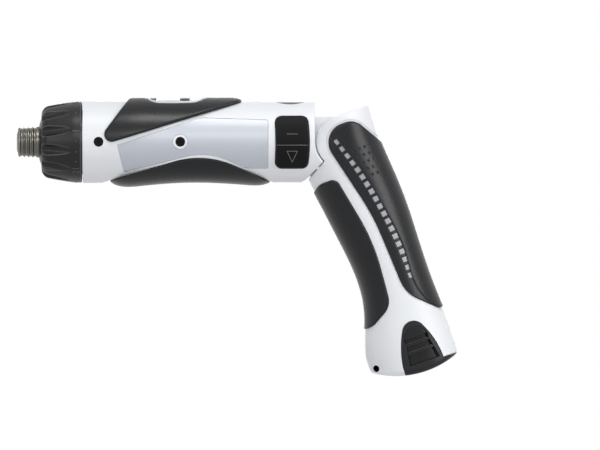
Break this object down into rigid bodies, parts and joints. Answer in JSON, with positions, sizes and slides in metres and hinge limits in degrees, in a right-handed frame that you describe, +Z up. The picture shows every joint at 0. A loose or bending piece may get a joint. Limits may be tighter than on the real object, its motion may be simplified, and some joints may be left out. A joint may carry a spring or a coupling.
{
  "type": "electric screwdriver",
  "caption": "Cordless electric screwdriver with a handle that folds between pistol and straight, a clutch dial, a hex bit holder and a slide-out battery.",
  "frame": {"origin": "centre of the bit holder's mouth, on the spindle axis", "axes": "+X back along the spindle towards the handle, +Z up, -Y the side of the rocker switch"},
  "size_m": [0.2112, 0.042, 0.1337],
  "materials": {
    "shell_white": "satin moulded plastic",
    "grip_rubber": "soft moulded rubber",
    "panel_silver": "silver film",
    "inlay_grey": "moulded plastic",
    "dial_black": "satin moulded plastic",
    "control_black": "satin moulded plastic",
    "slider_grey": "moulded plastic",
    "battery_black": "moulded plastic",
    "chuck_steel": "turned steel",
    "gear_steel": "machined steel",
    "spring_steel": "drawn wire",
    "bush_bronze": "sintered bronze",
    "case_alloy": "die-cast alloy",
    "mount_plastic": "glass-filled plastic",
    "motor_steel": "plated steel",
    "magnet": "ferrite",
    "armature_core": "wound laminations",
    "board": "circuit board",
    "contact_brass": "plated brass",
    "cell_wrap": "wrapped cell",
    "screw_black": "blackened steel"
  },
  "bodies": {
    "body": {"body_shell_left": "shell_white", "body_shell_right": "shell_white", "body_grip_upper_left": "grip_rubber", "body_grip_upper_right": "grip_rubber", "body_grip_lower_left": "grip_rubber", "body_grip_lower_right": "grip_rubber", "side_panel": "panel_silver", "body_screws": "screw_black", "switch_block": "control_black", "circuit_board": "board", "detent_balls": "chuck_steel", "detent_springs": "spring_steel", "spindle_bushes": "bush_bronze", "clutch_washer": "gear_steel", "clutch_pins": "gear_steel", "clutch_spring": "spring_steel", "gear_case": "case_alloy", "ring_gear_output": "gear_steel", "ring_gear_input": "gear_steel", "motor_mount": "mount_plastic", "motor_can": "motor_steel", "motor_magnets": "magnet", "motor_end_cap": "mount_plastic"},
    "rotor": {"motor_shaft": "gear_steel", "motor_pinion": "gear_steel", "armature": "armature_core"},
    "input_carrier": {"carrier_input": "gear_steel"},
    "input_planet_a": {"planet_input_a": "gear_steel"},
    "input_planet_b": {"planet_input_b": "gear_steel"},
    "input_planet_c": {"planet_input_c": "gear_steel"},
    "output_spindle": {"spindle": "chuck_steel", "locking_balls": "chuck_steel", "spindle_clip": "spring_steel", "sleeve_spring": "spring_steel"},
    "output_planet_a": {"planet_output_a": "gear_steel"},
    "output_planet_b": {"planet_output_b": "gear_steel"},
    "output_planet_c": {"planet_output_c": "gear_steel"},
    "sleeve": {"chuck_sleeve": "chuck_steel"},
    "dial": {"clutch_dial": "dial_black"},
    "nut": {"clutch_nut": "gear_steel"},
    "rocker": {"rocker_switch": "control_black"},
    "slider": {"speed_slider": "slider_grey"},
    "button": {"top_button": "slider_grey"},
    "handle": {"handle_shell_left": "shell_white", "handle_shell_right": "shell_white", "handle_grip_back_left": "grip_rubber", "handle_grip_back_right": "grip_rubber", "handle_grip_front_left": "grip_rubber", "handle_grip_front_right": "grip_rubber", "grip_inlay_left": "inlay_grey", "grip_inlay_right": "inlay_grey", "pivot_pin": "gear_steel", "terminal_block": "control_black", "terminal_blades": "contact_brass"},
    "battery": {"battery_case": "battery_black", "battery_cell": "cell_wrap", "battery_contacts": "contact_brass"},
    "latch_left": {"battery_latch_left": "battery_black"},
    "latch_right": {"battery_latch_right": "battery_black"}
  },
  "joints": [
    {"name": "motor_spin", "type": "hinge", "parent": "body", "child": "rotor", "pos_m": [0.08, 0, 0], "axis": [1, 0, 0], "continuous": true},
    {"name": "input_carrier_spin", "type": "hinge", "parent": "body", "child": "input_carrier", "pos_m": [0.054, 0, 0], "axis": [1, 0, 0], "continuous": true},
    {"name": "spindle_spin", "type": "hinge", "parent": "body", "child": "output_spindle", "pos_m": [0.02, 0, 0], "axis": [1, 0, 0], "continuous": true},
    {"name": "input_planet_a_spin", "type": "hinge", "parent": "input_carrier", "child": "input_planet_a", "pos_m": [0.0589, 0, 0.0075], "axis": [1, 0, 0], "continuous": true},
    {"name": "output_planet_a_spin", "type": "hinge", "parent": "output_spindle", "child": "output_planet_a", "pos_m": [0.0495, 0, 0.0075], "axis": [1, 0, 0], "continuous": true},
    {"name": "input_planet_b_spin", "type": "hinge", "parent": "input_carrier", "child": "input_planet_b", "pos_m": [0.0589, -0.0065, -0.00375], "axis": [1, 0, 0], "continuous": true},
    {"name": "output_planet_b_spin", "type": "hinge", "parent": "output_spindle", "child": "output_planet_b", "pos_m": [0.0495, -0.0065, -0.00375], "axis": [1, 0, 0], "continuous": true},
    {"name": "input_planet_c_spin", "type": "hinge", "parent": "input_carrier", "child": "input_planet_c", "pos_m": [0.0589, 0.0065, -0.00375], "axis": [1, 0, 0], "continuous": true},
    {"name": "output_planet_c_spin", "type": "hinge", "parent": "output_spindle", "child": "output_planet_c", "pos_m": [0.0495, 0.0065, -0.00375], "axis": [1, 0, 0], "continuous": true},
    {"name": "sleeve_slide", "type": "slide", "parent": "output_spindle", "child": "sleeve", "axis": [-1, 0, 0], "range_m": [0, 0.004], "stiffness_N_per_m": 500, "springref_m": -0.004, "deforming": ["sleeve_spring"]},
    {"name": "dial_turn", "type": "hinge", "parent": "body", "child": "dial", "pos_m": [0.021, 0, 0], "axis": [1, 0, 0], "range_deg": [0, 300]},
    {"name": "clutch_nut_slide", "type": "slide", "parent": "body", "child": "nut", "axis": [1, 0, 0], "range_m": [0, 0.00251], "deforming": ["clutch_spring"]},
    {"name": "rocker_tilt", "type": "hinge", "parent": "body", "child": "rocker", "pos_m": [0.132, -0.0144, 0], "axis": [1, 0, 0], "range_deg": [-4, 4], "stiffness_Nm_per_rad": 0.5},
    {"name": "speed_slide", "type": "slide", "parent": "body", "child": "slider", "axis": [1, 0, 0], "range_m": [0, 0.005]},
    {"name": "button_press", "type": "slide", "parent": "body", "child": "button", "axis": [0, 0, -1], "range_m": [0, 0.0008], "stiffness_N_per_m": 1500, "springref_m": -0.0008},
    {"name": "handle_fold", "type": "hinge", "parent": "body", "child": "handle", "pos_m": [0.156, 0, 0], "axis": [0, -1, 0], "range_deg": [0, 70]},
    {"name": "battery_slide", "type": "slide", "parent": "handle", "child": "battery", "axis": [0.342, 0, -0.9397], "range_m": [0, 0.09]},
    {"name": "latch_left_press", "type": "slide", "parent": "battery", "child": "latch_left", "axis": [0, 1, 0], "range_m": [0, 0.0015], "stiffness_N_per_m": 1500, "springref_m": -0.001},
    {"name": "latch_right_press", "type": "slide", "parent": "battery", "child": "latch_right", "axis": [0, -1, 0], "range_m": [0, 0.0015], "stiffness_N_per_m": 1500, "springref_m": -0.001}
  ],
  "couplings": [
    {"joint": "input_carrier_spin", "follows": "motor_spin", "ratio": 0.2},
    {"joint": "spindle_spin", "follows": "motor_spin", "ratio": 0.04},
    {"joint": "input_planet_a_spin", "follows": "motor_spin", "ratio": -0.53333},
    {"joint": "output_planet_a_spin", "follows": "motor_spin", "ratio": -0.10667},
    {"joint": "input_planet_b_spin", "follows": "motor_spin", "ratio": -0.53333},
    {"joint": "output_planet_b_spin", "follows": "motor_spin", "ratio": -0.10667},
    {"joint": "input_planet_c_spin", "follows": "motor_spin", "ratio": -0.53333},
    {"joint": "output_planet_c_spin", "follows": "motor_spin", "ratio": -0.10667},
    {"joint": "clutch_nut_slide", "follows": "dial_turn", "m_per_rad": 0.00047746}
  ]
}
